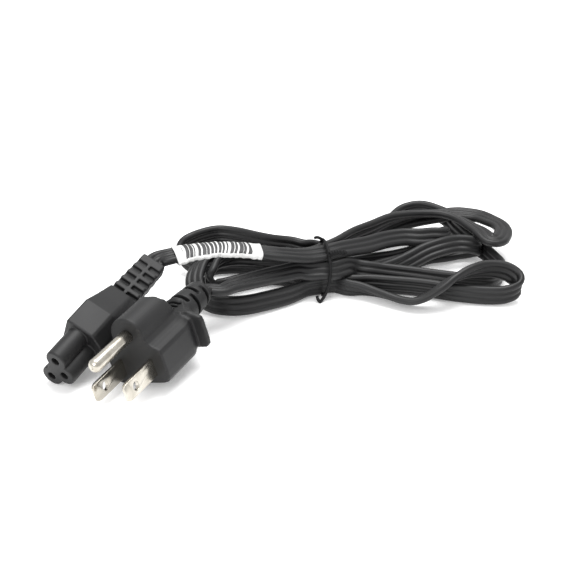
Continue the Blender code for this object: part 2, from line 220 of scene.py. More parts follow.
LEFT_OUTER = [
    (1.5, -16.5, 4.3, -10), (-7.5, -22.0, 4.4, -20), (-14.0, -25.0, 4.4, -22),
    (-20.0, -26.0, 4.4, -20), (-26.5, -24.5, 4.4, -12), (-30.5, -21.0, 4.9, -26),
    (-33.5, -16.0, 6.0, -52), (-34.5, -13.0, 8.0, -68), (-34.0, -9.0, 9.8, -70),
    (-32.0, -4.0, 11.0, -58), (-27.5, -1.0, 11.4, -35), (-21.5, 2.0, 10.8, -12),
    (-14.0, 3.5, 10.2, -3), (-6.5, 4.0, 9.8, 0), (-0.5, 3.0, 9.4, 0), (4.5, 5.5, 8.2, 0),
]
RIGHT_ARCH = [
    (26.0, 20.5, 4.3, 0), (34.0, 30.5, 5.0, 0), (41.5, 39.0, 6.6, 0), (50.0, 50.5, 9.0, 0),
    (58.0, 51.5, 10.4, 0), (66.5, 47.0, 9.8, 0), (68.5, 46.5, 8.8, 10), (71.5, 39.5, 7.6, 15),
    (74.5, 32.0, 6.4, 15), (77.5, 25.0, 5.4, 10), (81.0, 19.0, 4.8, 5), (84.0, 12.5, 4.4, 5),
    (85.5, 7.5, 4.2, 10), (84.5, -0.5, 4.2, 12), (80.0, -6.0, 4.2, 5), (74.5, -6.5, 4.2, -5),
    (67.5, -5.5, 4.3, -12), (61.0, -4.5, 4.5, -20), (49.5, -2.0, 4.8, -25), (39.5, -1.0, 5.2, -27),
    (33.0, -1.5, 5.8, -29), (28.0, -1.5, 5.8, -22),
]
PLUG_RUN = [
    (23.0, -6.0, 8.0, -34), (19.0, -9.0, 9.6, -40), (14.0, -10.0, 11.3, -44),
    (9.0, -11.0, 11.6, -48), (5.5, -11.5, 12.2, -53), (-1.0, -15.5, 12.8, -58),
    (-7.5, -20.0, 13.4, -64), (-15.0, -25.5, 14.0, -76), (-19.5, -29.5, 14.4, -88),
    (-23.0, -33.5, 14.9, -96), (-28.5, -34.0, 15.5, -101), (-30.5, -37.0, 15.8, -105),
]

# Twist tie: the loop round the bundle, and where its loose ends point
TIE_LOOP = [
    (15.2, 1.5, 18.6), (15.6, -2.4, 19.7), (16.6, -6.8, 18.2), (17.3, -11.0, 14.2),
    (17.2, -13.0, 9.5), (16.0, -12.6, 4.0), (14.8, -10.6, 0.9), (14.0, -5.0, 0.55),
    (13.8, 1.5, 0.55), (13.6, 6.4, 1.2), (13.6, 7.2, 8.0), (14.0, 6.9, 14.5), (14.6, 5.0, 17.4),
]
TIE_RADIUS = 0.62
TWIST_TURNS = 3.0
TWIST_RADIUS = 0.45
TIE_FLOOR_END = [(16.4, -12.8, 5.0), (15.4, -13.4, 2.6), (14.2, -14.6, 1.0), (13.4, -15.4, 0.6),
                 (12.6, -14.8, 1.4), (12.3, -14.0, 2.4)]
TIE_TOP_END = [(14.8, 1.0, 18.9), (13.6, 0.6, 20.0), (12.4, 0.8, 20.3), (11.6, 1.4, 19.8)]
TIE_SIDE_END = [(17.0, -8.6, 17.6), (18.6, -8.8, 18.3), (20.8, -8.6, 18.4), (23.4, -8.2, 18.0)]


def placed(point):
    """A place in millimetres from the floor point, as the part's own metres."""
    return (Vector(point[:3]) - Vector(ORIGIN)) * MM


def own_frame(face, x_axis, y_axis):
    """Matrix that carries millimetres in a piece's own frame into the part's metres."""
    along_x = Vector(x_axis).normalized()
    along_y = Vector(y_axis)
    along_y = (along_y - along_x * along_y.dot(along_x)).normalized()
    along_z = along_x.cross(along_y)
    turn = Matrix((along_x, along_y, along_z)).transposed().to_4x4()
    return Matrix.Translation(placed(face)) @ turn @ Matrix.Scale(MM, 4)


def finish_mesh(name, bm, look=None):
    bmesh.ops.recalc_face_normals(bm, faces=bm.faces)
    mesh = bpy.data.meshes.new(name)
    bm.to_mesh(mesh)
    bm.free()
    mesh.shade_smooth()
    item = bpy.data.objects.new(name, mesh)
    bpy.context.scene.collection.objects.link(item)
    if look:
        mesh.materials.append(look)
    return item


def loft(name, rings, carry, look=None):
    """A closed solid through rings of equal point counts, capped at both ends."""
    bm = bmesh.new()
    made = [[bm.verts.new(carry @ Vector(point)) for point in ring] for ring in rings]
    count = len(made[0])
    for near, far in zip(made, made[1:]):
        for step in range(count):
            after = (step + 1) % count
            bm.faces.new((near[step], near[after], far[after], far[step]))
    bm.faces.new(list(reversed(made[0])))
    bm.faces.new(made[-1])
    return finish_mesh(name, bm, look)


def box(name, low, high, carry):
    corners = [(low[0], low[2]), (high[0], low[2]), (high[0], high[2]), (low[0], high[2])]
    return loft(name, [[(x, y, z) for x, z in corners] for y in (low[1], high[1])], carry)


def circle(centre_x, centre_z, radius, count=48):
    points = []
    for step in range(count):
        angle = math.tau * step / count
        points.append((centre_x + radius * math.cos(angle), centre_z + radius * math.sin(angle)))
    return points


def at_depth(outline, y):
    return [(x, y, z) for x, z in outline]


def scaled(outline, factor_x, factor_z, centre_z=0.0):
    return [(x * factor_x, centre_z + (z - centre_z) * factor_z) for x, z in outline]


def rounded_box_outline(half_x, half_z, radius, centre_z=0.0, corner_steps=6):
    points = []
    for quarter, (sign_x, sign_z) in enumerate(((1, 1), (-1, 1), (-1, -1), (1, -1))):
        for step in range(corner_steps + 1):
            angle = math.radians(90 * (quarter + step / corner_steps))
            x = sign_x * (half_x - radius) + radius * math.cos(angle)
            z = sign_z * (half_z - radius) + radius * math.sin(angle)
            points.append((x, centre_z + z))
    return points


def combine(target, tool, operation):
    """Adds a Boolean, whose tool is removed once the piece is made."""
    step = target.modifiers.new(operation.title(), "BOOLEAN")
    step.operation = operation
    step.solver = "EXACT"
    step.object = tool


def apply_steps(target):
    """Gives the piece the mesh that its modifiers make, and removes the tools of its Booleans."""
    tools = [step.object for step in target.modifiers if step.type == "BOOLEAN"]
    bpy.context.view_layer.update()
    evaluated = target.evaluated_get(bpy.context.evaluated_depsgraph_get())
    mesh = bpy.data.meshes.new_from_object(evaluated)
    target.modifiers.clear()
    target.data = mesh
    mesh.shade_smooth()
    for tool in tools:
        bpy.data.objects.remove(tool, do_unlink=True)


def mould(target):
    """Rebuilds a piece and its Booleans in small cells, so that its edges come out round."""
    remesh = target.modifiers.new("Rebuild", "REMESH")
    remesh.mode = "VOXEL"
    remesh.voxel_size = MOULD_CELL * MM
    remesh.use_smooth_shade = True
    soften = target.modifiers.new("Soften", "SMOOTH")
    soften.factor = 0.5
    soften.iterations = 3
    apply_steps(target)


def plug_outline():
    """The plug's face: a wide block with an arch over the ground pin."""
    side = PLUG_HALF_WIDTH
    right = [(8.6, PLUG_BOTTOM), (10.5, -5.9), (11.3, -4.6), (side, -2.5), (side, 4.6), (11.2, 6.0),
             (9.9, 7.0), (8.6, 7.6), (7.5, 8.6), (ARCH_RADIUS, 10.2)]
    for degrees in range(0, 90, 9):
        angle = math.radians(degrees)
        right.append((ARCH_RADIUS * math.cos(angle), GROUND_OFFSET + ARCH_RADIUS * math.sin(angle)))
    top = [(0.0, GROUND_OFFSET + ARCH_RADIUS)]
    left = [(-x, z) for x, z in reversed(right)]
    return right + top + left + [(0.0, PLUG_BOTTOM)]


def rear_ring(outline, y, wide, high, low=PLUG_BOTTOM):
    """The plug's outline further back: its width as a share, cut off above and below."""
    return at_depth([(x * wide, max(low, min(z, high))) for x, z in outline], y)


def build_plug(carry, look):
    outline = plug_outline()
    rings = [
        at_depth(scaled(outline, 0.975, 0.975, 3.0), 0.0),
        at_depth(outline, -0.5),
        at_depth(outline, -15.5),
        rear_ring(outline, -17.2, 1.0, 17.8),
        rear_ring(outline, -18.6, 0.98, 15.8),
        rear_ring(outline, -19.8, 0.94, 12.6),
        rear_ring(outline, -21.0, 0.9, 10.2, -5.2),
        rear_ring(outline, -22.2, 0.92, 9.0, -5.0),
        rear_ring(outline, -22.8, 1.2, 8.6, -5.6),
        rear_ring(outline, -24.4, 1.22, 8.2, -5.6),
        rear_ring(outline, -25.0, 0.9, 8.0, -4.6),
        rear_ring(outline, -27.0, 0.7, 8.4, -3.2),
        rear_ring(outline, -30.0, 0.5, 9.6, -1.6),
    ]
    housing = loft("plug_body", rings, carry)
    combine(housing, build_neck(carry), "UNION")
    cut_neck_slots(housing, carry)
    cut_grip_grooves(housing, carry)
    mould(housing)
    housing.data.materials.append(look)
    return housing


def build_neck(carry):
    """The round neck that the cord leaves by, thinner where it starts inside the housing."""
    profile = ((-24.0, 3.4), (-27.0, 4.2), (-29.5, 5.6), (-31.0, 5.9),
               (-36.0, 5.6), (-41.0, 5.2), (-44.6, 4.8), (NECK_END, 4.3))
    rings = [at_depth(circle(0.0, NECK_HEIGHT, radius), y) for y, radius in profile]
    return loft("neck_guide", rings, carry)


def cut_neck_slots(housing, carry):
    """Slots that let the neck bend, by turns in its top and bottom and in its two sides."""
    for number in range(NECK_SLOTS):
        y = NECK_SLOT_START - number * NECK_SLOT_PITCH
        for side in (-1, 1):
            near, far = sorted((side * NECK_SLOT_FLOOR, side * 7.0))
            if number % 2:
                low = (near, y - NECK_SLOT / 2, NECK_HEIGHT - NECK_SLOT_HALF_HIGH)
                high = (far, y + NECK_SLOT / 2, NECK_HEIGHT + NECK_SLOT_HALF_HIGH)
            else:
                low = (-NECK_SLOT_HALF_WIDE, y - NECK_SLOT / 2, NECK_HEIGHT + near)
                high = (NECK_SLOT_HALF_WIDE, y + NECK_SLOT / 2, NECK_HEIGHT + far)
            combine(housing, box("neck_slot", low, high, carry), "DIFFERENCE")


def cut_grip_grooves(housing, carry):
    """Three grooves for the fingers on the rise to the neck, the narrowest nearest to the arch."""
    for number, half in enumerate((1.9, 2.8, 3.6)):
        y = GRIP_START - number * GRIP_PITCH
        low = (-half, y - GRIP_GROOVE / 2, GRIP_FLOOR)
        high = (half, y + GRIP_GROOVE / 2, 14.0)
        combine(housing, box("grip_groove", low, high, carry), "DIFFERENCE")


def build_blade(name, side, carry, look):
    """A flat blade with a round hole, a thinned tip and slightly rounded edges."""
    x = side * BLADE_PITCH / 2
    half = BLADE_WIDTH / 2
    thick = BLADE_THICK / 2
    rings = []
    for y, inset_x, inset_z in ((PIN_ROOT, 0.0, 0.0), (BLADE_LENGTH - 2.0, 0.0, 0.0),
                                (BLADE_LENGTH - 0.7, 0.2, 0.3), (BLADE_LENGTH, 0.4, 1.0)):
        rings.append([
            (x - thick + inset_x, y, -half + inset_z),
            (x + thick - inset_x, y, -half + inset_z),
            (x + thick - inset_x, y, half - inset_z),
            (x - thick + inset_x, y, half - inset_z),
        ])
    blade = loft(name, rings, carry, look)
    hole_rings = [[(x + depth, BLADE_HOLE_OUT + a, b) for a, b in circle(0.0, 0.0, BLADE_HOLE / 2)]
                  for depth in (-2.0, 2.0)]
    hole = loft("blade_hole", hole_rings, carry)
    combine(blade, hole, "DIFFERENCE")
    bevel = blade.modifiers.new("Worn edges", "BEVEL")
    bevel.width = BLADE_EDGE * MM
    bevel.segments = 3
    bevel.limit_method = "ANGLE"
    bevel.angle_limit = math.radians(30)
    apply_steps(blade)
    blade.data.set_sharp_from_angle(angle=math.radians(40))
    return blade


def build_ground_pin(carry, look):
    """The round pin: a straight barrel, a domed tip and a small dimple in its middle."""
    radius = GROUND_DIA / 2
    dome = [(GROUND_LENGTH - radius * (1 - math.sin(math.radians(angle))) * 0.9,
             radius * math.cos(math.radians(angle))) for angle in range(0, 80, 8)]
    profile = [(PIN_ROOT, radius), (5.0, radius)] + dome
    profile += [(GROUND_LENGTH - 0.05, 0.55), (GROUND_LENGTH - 0.3, 0.35), (GROUND_LENGTH - 0.4, 0.12)]
    rings = [at_depth(circle(0.0, GROUND_OFFSET, reach), y) for y, reach in profile]
    return loft("ground_pin_metal", rings, carry, look)


def cloverleaf(radius, count=144):
    """Outline round the three lobes of the connector's nose, found along rays from its middle."""
    centre_z = EARTH_OFFSET / 3
    points = []
    for step in range(count):
        angle = math.tau * step / count
        along = (math.cos(angle), math.sin(angle))
        reach = radius + 0.1
        for lobe_x, lobe_z in CONTACT_PLACES:
            off_x, off_z = lobe_x, lobe_z - centre_z
            forward = off_x * along[0] + off_z * along[1]
            aside = off_x * along[1] - off_z * along[0]
            if abs(aside) < radius and forward > 0:
                reach = max(reach, forward + math.sqrt(radius ** 2 - aside ** 2))
        points.append((reach * along[0], centre_z + reach * along[1]))
    return points


def connector_body_outline():
    """Block behind the nose: straight on the line and neutral side, chamfered to the earth side."""
    half = [(9.0, -5.6), (9.6, -5.0), (9.6, 4.6), (9.2, 5.6), (6.4, 8.8), (5.4, 9.6), (4.0, 10.0)]
    return half + [(-x, z) for x, z in reversed(half)]


def build_connector(carry, look):
    nose = cloverleaf(LOBE_RADIUS)
    rings = [at_depth(scaled(nose, 0.955, 0.955, 1.5), 0.0), at_depth(nose, -0.4),
             at_depth(nose, -NOSE_LENGTH - 1.5)]
    housing = loft("connector_body", rings, carry)
    body = connector_body_outline()
    body_rings = [
        at_depth(scaled(body, 0.97, 0.97, 2.0), -NOSE_LENGTH),
        at_depth(body, -NOSE_LENGTH - 0.4),
        at_depth(body, -NOSE_LENGTH - 11.5),
        at_depth(scaled(body, 0.74, 0.88, 1.8), -31.0),
        at_depth(scaled(body, 0.45, 0.76, 1.6), RELIEF_START - 1.0),
    ]
    combine(housing, loft("body_guide", body_rings, carry), "UNION")
    front = rounded_box_outline(3.6, 5.4, 0.8, 1.5)
    rear = rounded_box_outline(2.9, 4.7, 0.8, 1.5)
    relief = loft("relief_guide", [at_depth(front, RELIEF_START + 0.5), at_depth(rear, RELIEF_END)], carry)
    combine(housing, relief, "UNION")
    cut_relief_windows(housing, carry)
    for x, z in CONTACT_PLACES:
        outline = circle(x, z, CONTACT_HOLE / 2)
        bore = loft("contact_bore", [at_depth(outline, y) for y in (1.0, -CONTACT_HOLE_DEPTH)], carry)
        combine(housing, bore, "DIFFERENCE")
    mould(housing)
    housing.data.materials.append(look)
    return housing


def cut_relief_windows(housing, carry):
    """Windows between the ribs of the strain relief, on both wide faces and through both edges."""
    for number in range(WINDOWS):
        y = RELIEF_START - 1.6 - number * WINDOW_PITCH
        for face in (-1, 1):
            for side in (-1, 1):
                near, far = sorted((face * WINDOW_FLOOR, face * 5.0))
                inner, outer = sorted((side * WINDOW_SPINE / 2, side * 6.0))
                low = (near, y - WINDOW / 2, RELIEF_MIDDLE + inner)
                high = (far, y + WINDOW / 2, RELIEF_MIDDLE + outer)
                combine(housing, box("relief_window", low, high, carry), "DIFFERENCE")


def through_tie(column, towards):
    """Three points of a strand in its place in the tie; towards is 1 to the right, -1 to the left."""
    places = [towards * step for step in (-5.0, 0.0, 5.0)]
    return [(TIE_X + place, COLUMN_Y[column] + TIE_SLANT * place, COLUMN_HEIGHT, 0)
            for place in places]


def cord_route():
    """The cord's points from the connector to the plug, loop by loop, to and fro through the tie."""
    return (
        CONNECTOR_RUN + RIGHT_MIDDLE
        + through_tie(5, -1) + LEFT_SHORT
        + through_tie(4, 1) + RIGHT_LOW
        + through_tie(3, -1) + LEFT_BACK
        + BACK_CROSSING + RIGHT_BACK
        + TIE_CROSSING + LEFT_INNER
        + through_tie(2, 1) + RIGHT_FRONT
        + through_tie(1, -1) + LEFT_OUTER
        + UNDER_CROSSING + RIGHT_ARCH
        + PLUG_RUN
    )


def smooth_route(points, steps=24):
    """A smooth curve through the points, its pace set by the distance between them."""
    points = np.asarray(points, float)
    padded = np.vstack([2 * points[0] - points[1], points, 2 * points[-1] - points[-2]])
    made = []
    for p0, p1, p2, p3 in zip(padded, padded[1:], padded[2:], padded[3:]):
        t0 = 0.0
        t1 = t0 + np.linalg.norm((p1 - p0)[:3]) ** 0.5
        t2 = t1 + np.linalg.norm((p2 - p1)[:3]) ** 0.5
        t3 = t2 + np.linalg.norm((p3 - p2)[:3]) ** 0.5
        for t in np.linspace(t1, t2, steps, endpoint=False):
            a1 = ((t1 - t) * p0 + (t - t0) * p1) / (t1 - t0)
            a2 = ((t2 - t) * p1 + (t - t1) * p2) / (t2 - t1)
            a3 = ((t3 - t) * p2 + (t - t2) * p3) / (t3 - t2)
            b1 = ((t2 - t) * a1 + (t - t0) * a2) / (t2 - t0)
            b2 = ((t3 - t) * a2 + (t - t1) * a3) / (t3 - t1)
            made.append(((t2 - t) * b1 + (t - t1) * b2) / (t2 - t1))
    made.append(points[-1])
    return np.array(made)


def spaced(route, step):
    """The same line with its points a fixed step apart."""
    runs = np.linalg.norm(np.diff(route[:, :3], axis=0), axis=1)
    along = np.concatenate(([0.0], np.cumsum(runs)))
    marks = np.linspace(0.0, along[-1], int(round(along[-1] / step)) + 1)
    return np.stack([np.interp(marks, along, column) for column in route.T], axis=1)


def cord_axes(centres, lean):
    """Directions along the cord, across its width and through its thickness at each point."""
    along = np.gradient(centres, axis=0)
    along /= np.linalg.norm(along, axis=1)[:, None]
    level = np.cross((0.0, 0.0, 1.0), along)
    level /= np.linalg.norm(level, axis=1)[:, None]
    upright = np.cross(along, level)
    turn = np.radians(lean)[:, None]
    across = upright * np.cos(turn) + level * np.sin(turn)
    return along, across, np.cross(across, along)


def near_pairs(spots, owner, step, reach):
    """Pairs of spots that lie near each other though they are far apart along the cord."""
    squares = (spots ** 2).sum(axis=1)
    apart = squares[:, None] + squares[None, :] - 2.0 * spots @ spots.T
    along = np.abs(owner[:, None] - owner[None, :]) * step
    return np.nonzero((apart < reach ** 2) & (along > NEAR_ALONG))


def pushed_apart(spots, owner, pairs, count):
    """How far each point of the cord is moved by the strands that it runs into."""
    first, second = pairs
    between = spots[first] - spots[second]
    distance = np.maximum(np.linalg.norm(between, axis=1), 0.001)
    push = np.maximum(STRAND_CLEAR - distance, 0.0)
    shift = np.zeros((count, 3))
    touching = np.zeros(count)
    np.add.at(shift, owner[first], between / distance[:, None] * push[:, None] * 0.5)
    np.add.at(touching, owner[first], push > 0)
    shift /= np.sqrt(np.maximum(touching, 1.0))[:, None]
    shift[1:-1] = 0.25 * shift[:-2] + 0.5 * shift[1:-1] + 0.25 * shift[2:]
    return shift


def settle(route, step=2.0, rounds=260):
    """Presses strands that run into each other apart, while the cord stays smooth and on the floor."""
    rough = spaced(route, step)
    home = rough[:, :3].copy()
    lean = rough[:, 3]
    centres = home.copy()
    count = len(centres)
    offsets = np.array((-RIDGE_PITCH, 0.0, RIDGE_PITCH))
    owner = np.repeat(np.arange(count), len(offsets))
    for turn in range(rounds):
        across = cord_axes(centres, lean)[1]
        spots = (centres[:, None, :] + across[:, None, :] * offsets[None, :, None]).reshape(-1, 3)
        if turn % 10 == 0:
            pairs = near_pairs(spots, owner, step, STRAND_CLEAR + 1.5)
        centres += pushed_apart(spots, owner, pairs, count) * 0.6
        moved = centres - home
        centres[1:-1] += 0.5 * (0.5 * (moved[:-2] + moved[2:]) - moved[1:-1])
        centres += (home - centres) * 0.01
        lowest = centres[:, 2] - np.abs(across[:, 2]) * CORD_WIDTH / 2
        centres[:, 2] += np.maximum(FLOOR_GAP - lowest, 0.0)
        centres[:4] = home[:4]
        centres[-4:] = home[-4:]
    return np.column_stack((centres, lean))


def cord_section():
    """Points round the flat cord's section: across its width and through its thickness."""
    notch = math.degrees(math.acos(RIDGE_PITCH / 2 / RIDGE_RADIUS))
    spans = (
        (-RIDGE_PITCH, 180.0, notch, 6),
        (0.0, 180.0 - notch, notch, 5),
        (RIDGE_PITCH, 180.0 - notch, 0.0, 6),
    )
    upper = []
    for centre, start, end, steps in spans:
        for step in range(steps):
            angle = math.radians(start + (end - start) * step / steps)
            upper.append((centre + RIDGE_RADIUS * math.cos(angle), RIDGE_RADIUS * math.sin(angle)))
    upper.append((RIDGE_PITCH + RIDGE_RADIUS, 0.0))
    lower = [(across, -through) for across, through in reversed(upper[1:-1])]
    return np.array(upper + lower)


def swept_mesh(name, rings, closed_ends=True):
    """A mesh skin over an array of rings, each ring an array of points in millimetres."""
    count, around = rings.shape[:2]
    points = (rings.reshape(-1, 3) - np.array(ORIGIN)) * MM
    row = np.arange(count - 1)[:, None] * around
    here = np.arange(around)[None, :]
    after = (here + 1) % around
    faces = np.stack((row + here, row + after, row + around + after, row + around + here), axis=2)
    faces = faces.reshape(-1, 4).tolist()
    if closed_ends:
        last = (count - 1) * around
        faces.append(list(range(around))[::-1])
        faces.append([last + step for step in range(around)])
    mesh = bpy.data.meshes.new(name)
    mesh.from_pydata(points.tolist(), [], faces)
    bm = bmesh.new()
    bm.from_mesh(mesh)
    bpy.data.meshes.remove(mesh)
    return finish_mesh(name, bm)


def build_cord(route, look):
    centres = route[:, :3]
    _, across, through = cord_axes(centres, route[:, 3])
    section = cord_section()
    rings = (centres[:, None, :] + across[:, None, :] * section[None, :, :1]
             + through[:, None, :] * section[None, :, 1:])
    cord = swept_mesh("flat_cord", rings)
    cord.data.materials.append(look)
    return cord


def label_rings(part):
    """Rings of creased paper round a stretch of the cord, with a ragged flap below."""
    _, across, through = cord_axes(part[:, :3], part[:, 3])
    angles = np.linspace(0.0, math.tau, LABEL_AROUND, endpoint=False)
    marks = np.linspace(0.0, 1.0, len(part))[:, None]
    crease = (0.07 * np.sin(marks * 61.0 + 3.0 * np.sin(angles * 2.0)[None, :])
              + 0.06 * np.sin(marks * 37.0 + 2.0 * np.cos(angles)[None, :] + 1.3)
              + 0.04 * np.sin(marks * 97.0 + 4.0 * np.sin(angles)[None, :] + 0.4))
    wide = LABEL_HALF_WIDTH + crease
    thick = LABEL_HALF_THICK + crease
    sway = np.cos(angles)[None, :]
    flap = np.clip(-sway - 0.86, 0.0, 1.0) / 0.14
    ragged = 1.0 * (1.0 - marks) + 0.2 + 0.3 * np.sin(marks * 23.0) + 0.25 * np.sin(marks * 71.0 + 1.0)
    offset_across = wide * sway - flap * ragged * 1.1
    bulge = np.sign(np.sin(angles)) * np.abs(np.sin(angles)) ** 0.6
    offset_through = thick * bulge[None, :] * (1.0 - 0.2 * flap)
    return (part[:, None, :3] + across[:, None, :] * offset_across[:, :, None]
            + through[:, None, :] * offset_through[:, :, None])


def build_label(route, look):
    """Paper label folded round the cord, creased, with its two ends pressed together below."""
    first, last = int(LABEL_START / CORD_STEP), int(LABEL_END / CORD_STEP)
    part = spaced(route[first:last + 1], LABEL_STEP)
    label = swept_mesh("paper_label", label_rings(part), closed_ends=False)
    add_wrap_coordinates(label, len(part), LABEL_AROUND)
    shell = label.modifiers.new("Paper thickness", "SOLIDIFY")
    shell.thickness = PAPER_THICK * MM
    shell.offset = -1.0
    label.data.materials.append(look)
    return label


def add_wrap_coordinates(item, count, around):
    """Texture coordinates: along the label, and round it."""
    layer = item.data.uv_layers.new(name="wrap")
    for polygon in item.data.polygons:
        closes = any(vertex % around == around - 1 for vertex in polygon.vertices)
        for corner in polygon.loop_indices:
            ring, step = divmod(item.data.loops[corner].vertex_index, around)
            if step == 0 and closes:
                step = around
            layer.data[corner].uv = (ring / (count - 1), step / around)


def build_tie(look):
    """Wire tie: a loop round the hank and its loose twisted ends, all one piece of wire."""
    curve = bpy.data.curves.new("wire_tie", "CURVE")
    curve.dimensions = "3D"
    curve.bevel_depth = TIE_RADIUS * MM
    curve.bevel_resolution = 3
    curve.use_fill_caps = True
    loop = TIE_LOOP + TIE_LOOP[:3]
    points = smooth_route([(*point, 0.0) for point in loop], 8)[8:-16, :3]
    add_wire(curve, points, closed=True)
    for end in (TIE_FLOOR_END, TIE_TOP_END):
        add_wire(curve, smooth_route([(*point, 0.0) for point in end], 6)[:, :3])
    twisted = smooth_route([(*point, 0.0) for point in TIE_SIDE_END], 12)[:, :3]
    for phase in (0.0, math.pi):
        turns = np.linspace(0.0, TWIST_TURNS * math.tau, len(twisted)) + phase
        helix = twisted.copy()
        helix[:, 1] += TWIST_RADIUS * np.cos(turns)
        helix[:, 2] += TWIST_RADIUS * np.sin(turns)
        add_wire(curve, helix)
    curve.materials.append(look)
    tie = bpy.data.objects.new("wire_tie", curve)
    bpy.context.scene.collection.objects.link(tie)
    return tie


def add_wire(curve, points, closed=False):
    """One wire of the tie through the points."""
    spline = curve.splines.new("POLY")
    spline.points.add(len(points) - 1)
    spline.use_cyclic_u = closed
    for spot, point in zip(spline.points, points):
        spot.co = (*placed(point), 1.0)


def new_look(name, colour, roughness, metallic=0.0):
    look = bpy.data.materials.new(name)
    look.use_nodes = True
    shader = look.node_tree.nodes["Principled BSDF"]
    shader.inputs["Base Color"].default_value = (*colour, 1.0)
    shader.inputs["Roughness"].default_value = roughness
    shader.inputs["Metallic"].default_value = metallic
    return look, shader


def link(look, output, target):
    look.node_tree.links.new(output, target)


def add_noise(look, scale, detail, stretch=None):
    """Noise in the object's own coordinates, with its scale given per metre."""
    nodes = look.node_tree.nodes
    place = nodes.new("ShaderNodeTexCoord")
    noise = nodes.new("ShaderNodeTexNoise")
    noise.inputs["Scale"].default_value = scale
    noise.inputs["Detail"].default_value = detail
    vector = place.outputs["Object"]
    if stretch:
        mapping = nodes.new("ShaderNodeMapping")
        mapping.inputs["Scale"].default_value = stretch
        link(look, vector, mapping.inputs["Vector"])
        vector = mapping.outputs["Vector"]
    link(look, vector, noise.inputs["Vector"])
    return noise


def add_ramp(look, source, low, high, low_value, high_value):
    """Maps a texture's range onto two colours."""
    ramp = look.node_tree.nodes.new("ShaderNodeValToRGB")
    ramp.color_ramp.elements[0].position = low
    ramp.color_ramp.elements[1].position = high
    ramp.color_ramp.elements[0].color = (*low_value, 1.0)
    ramp.color_ramp.elements[1].color = (*high_value, 1.0)
    link(look, source, ramp.inputs["Fac"])
    return ramp


def add_range(look, source, low, high):
    """Maps a texture's 0 to 1 onto a range of numbers."""
    node = look.node_tree.nodes.new("ShaderNodeMapRange")
    node.inputs["To Min"].default_value = low
    node.inputs["To Max"].default_value = high
    link(look, source, node.inputs["Value"])
    return node


def add_bump(look, shader, noise, strength, distance):
    """Lets the surface rise and fall with a noise."""
    bump = look.node_tree.nodes.new("ShaderNodeBump")
    bump.inputs["Strength"].default_value = strength
    bump.inputs["Distance"].default_value = distance * MM
    link(look, noise.outputs["Fac"], bump.inputs["Height"])
    link(look, bump.outputs["Normal"], shader.inputs["Normal"])


def add_tone(look, shader, noise, low, high, dark, pale):
    """Lets the colour follow a noise between a dark and a pale tone."""
    tone = add_ramp(look, noise.outputs["Fac"], low, high, dark, pale)
    link(look, tone.outputs["Color"], shader.inputs["Base Color"])


def add_sheen(look, shader, noise, low, high):
    """Lets the roughness follow a noise between two values."""
    sheen = add_range(look, noise.outputs["Fac"], low, high)
    link(look, sheen.outputs["Result"], shader.inputs["Roughness"])


def moulded_pvc_look():
    """Black moulded PVC with a fine spark-eroded grain and slightly uneven sheen."""
    look, shader = new_look("moulded_pvc_finish", (0.03, 0.03, 0.031), 0.5)
    shader.inputs["Specular IOR Level"].default_value = 0.34
    grain = add_noise(look, 2600.0, 3.0)
    cloud = add_noise(look, 90.0, 3.0)
    add_bump(look, shader, grain, 0.35, 0.05)
    add_tone(look, shader, cloud, 0.3, 0.7, (0.009, 0.009, 0.0095), (0.014, 0.014, 0.0145))
    add_sheen(look, shader, cloud, 0.42, 0.58)
    return look


def cord_pvc_look():
    """Black extruded PVC of the cord: smoother, with faint waves and scuffs."""
    look, shader = new_look("cord_pvc_finish", (0.028, 0.028, 0.029), 0.42)
    shader.inputs["Specular IOR Level"].default_value = 0.34
    grain = add_noise(look, 1400.0, 3.0)
    cloud = add_noise(look, 70.0, 4.0)
    add_bump(look, shader, grain, 0.2, 0.05)
    add_tone(look, shader, cloud, 0.3, 0.7, (0.008, 0.008, 0.0085), (0.012, 0.012, 0.0125))
    add_sheen(look, shader, cloud, 0.36, 0.5)
    return look


def nickel_look():
    """Nickel plate, drawn along the blades, with small handling marks."""
    look, shader = new_look("nickel_finish", (0.83, 0.8, 0.74), 0.25, 1.0)
    drawn = add_noise(look, 900.0, 4.0, stretch=(3.0, 0.4, 3.0))
    marks = add_noise(look, 260.0, 5.0)
    add_tone(look, shader, marks, 0.3, 0.65, (0.44, 0.41, 0.35), (0.6, 0.57, 0.51))
    add_sheen(look, shader, drawn, 0.2, 0.3)
    add_bump(look, shader, drawn, 0.05, 0.02)
    return look


def contact_shade_look():
    """Sprung sleeves deep in the nose: dull metal, its tone painted nearly black as painted shade of the
    deep holes.
    """
    look, shader = new_look("contact_painted_shade", (0.3, 0.24, 0.15), 0.5, 1.0)
    marks = add_noise(look, 700.0, 4.0)
    # Both tones are near-black: painted shade of the holes over the metal, varied at random by marks.
    add_tone(look, shader, marks, 0.35, 0.65, (0.01, 0.008, 0.006), (0.04, 0.033, 0.024))
    add_bump(look, shader, marks, 0.2, 0.05)
    return look


def math_node(look, operation, first, second=None):
    """The result of a sum in the shader; second is a number or another result."""
    node = look.node_tree.nodes.new("ShaderNodeMath")
    node.operation = operation
    link(look, first, node.inputs[0])
    if isinstance(second, float):
        node.inputs[1].default_value = second
    elif second is not None:
        link(look, second, node.inputs[1])
    return node.outputs["Value"]


def label_bars(look, along, turned):
    """Bars of uneven width, one in each place along the label, bowed round the cord."""
    bowed = math_node(look, "SINE", math_node(look, "MULTIPLY", turned, math.tau))
    slanted = math_node(look, "ADD", along, math_node(look, "MULTIPLY", bowed, BAR_BOW))
    places = math_node(look, "MULTIPLY", slanted, BAR_PLACES)
    chance = look.node_tree.nodes.new("ShaderNodeTexWhiteNoise")
    chance.noise_dimensions = "1D"
    link(look, math_node(look, "FLOOR", places), chance.inputs["W"])
    width = add_range(look, chance.outputs["Value"], BAR_NARROW, BAR_WIDE)
    return math_node(look, "LESS_THAN", math_node(look, "FRACT", places), width.outputs["Result"])


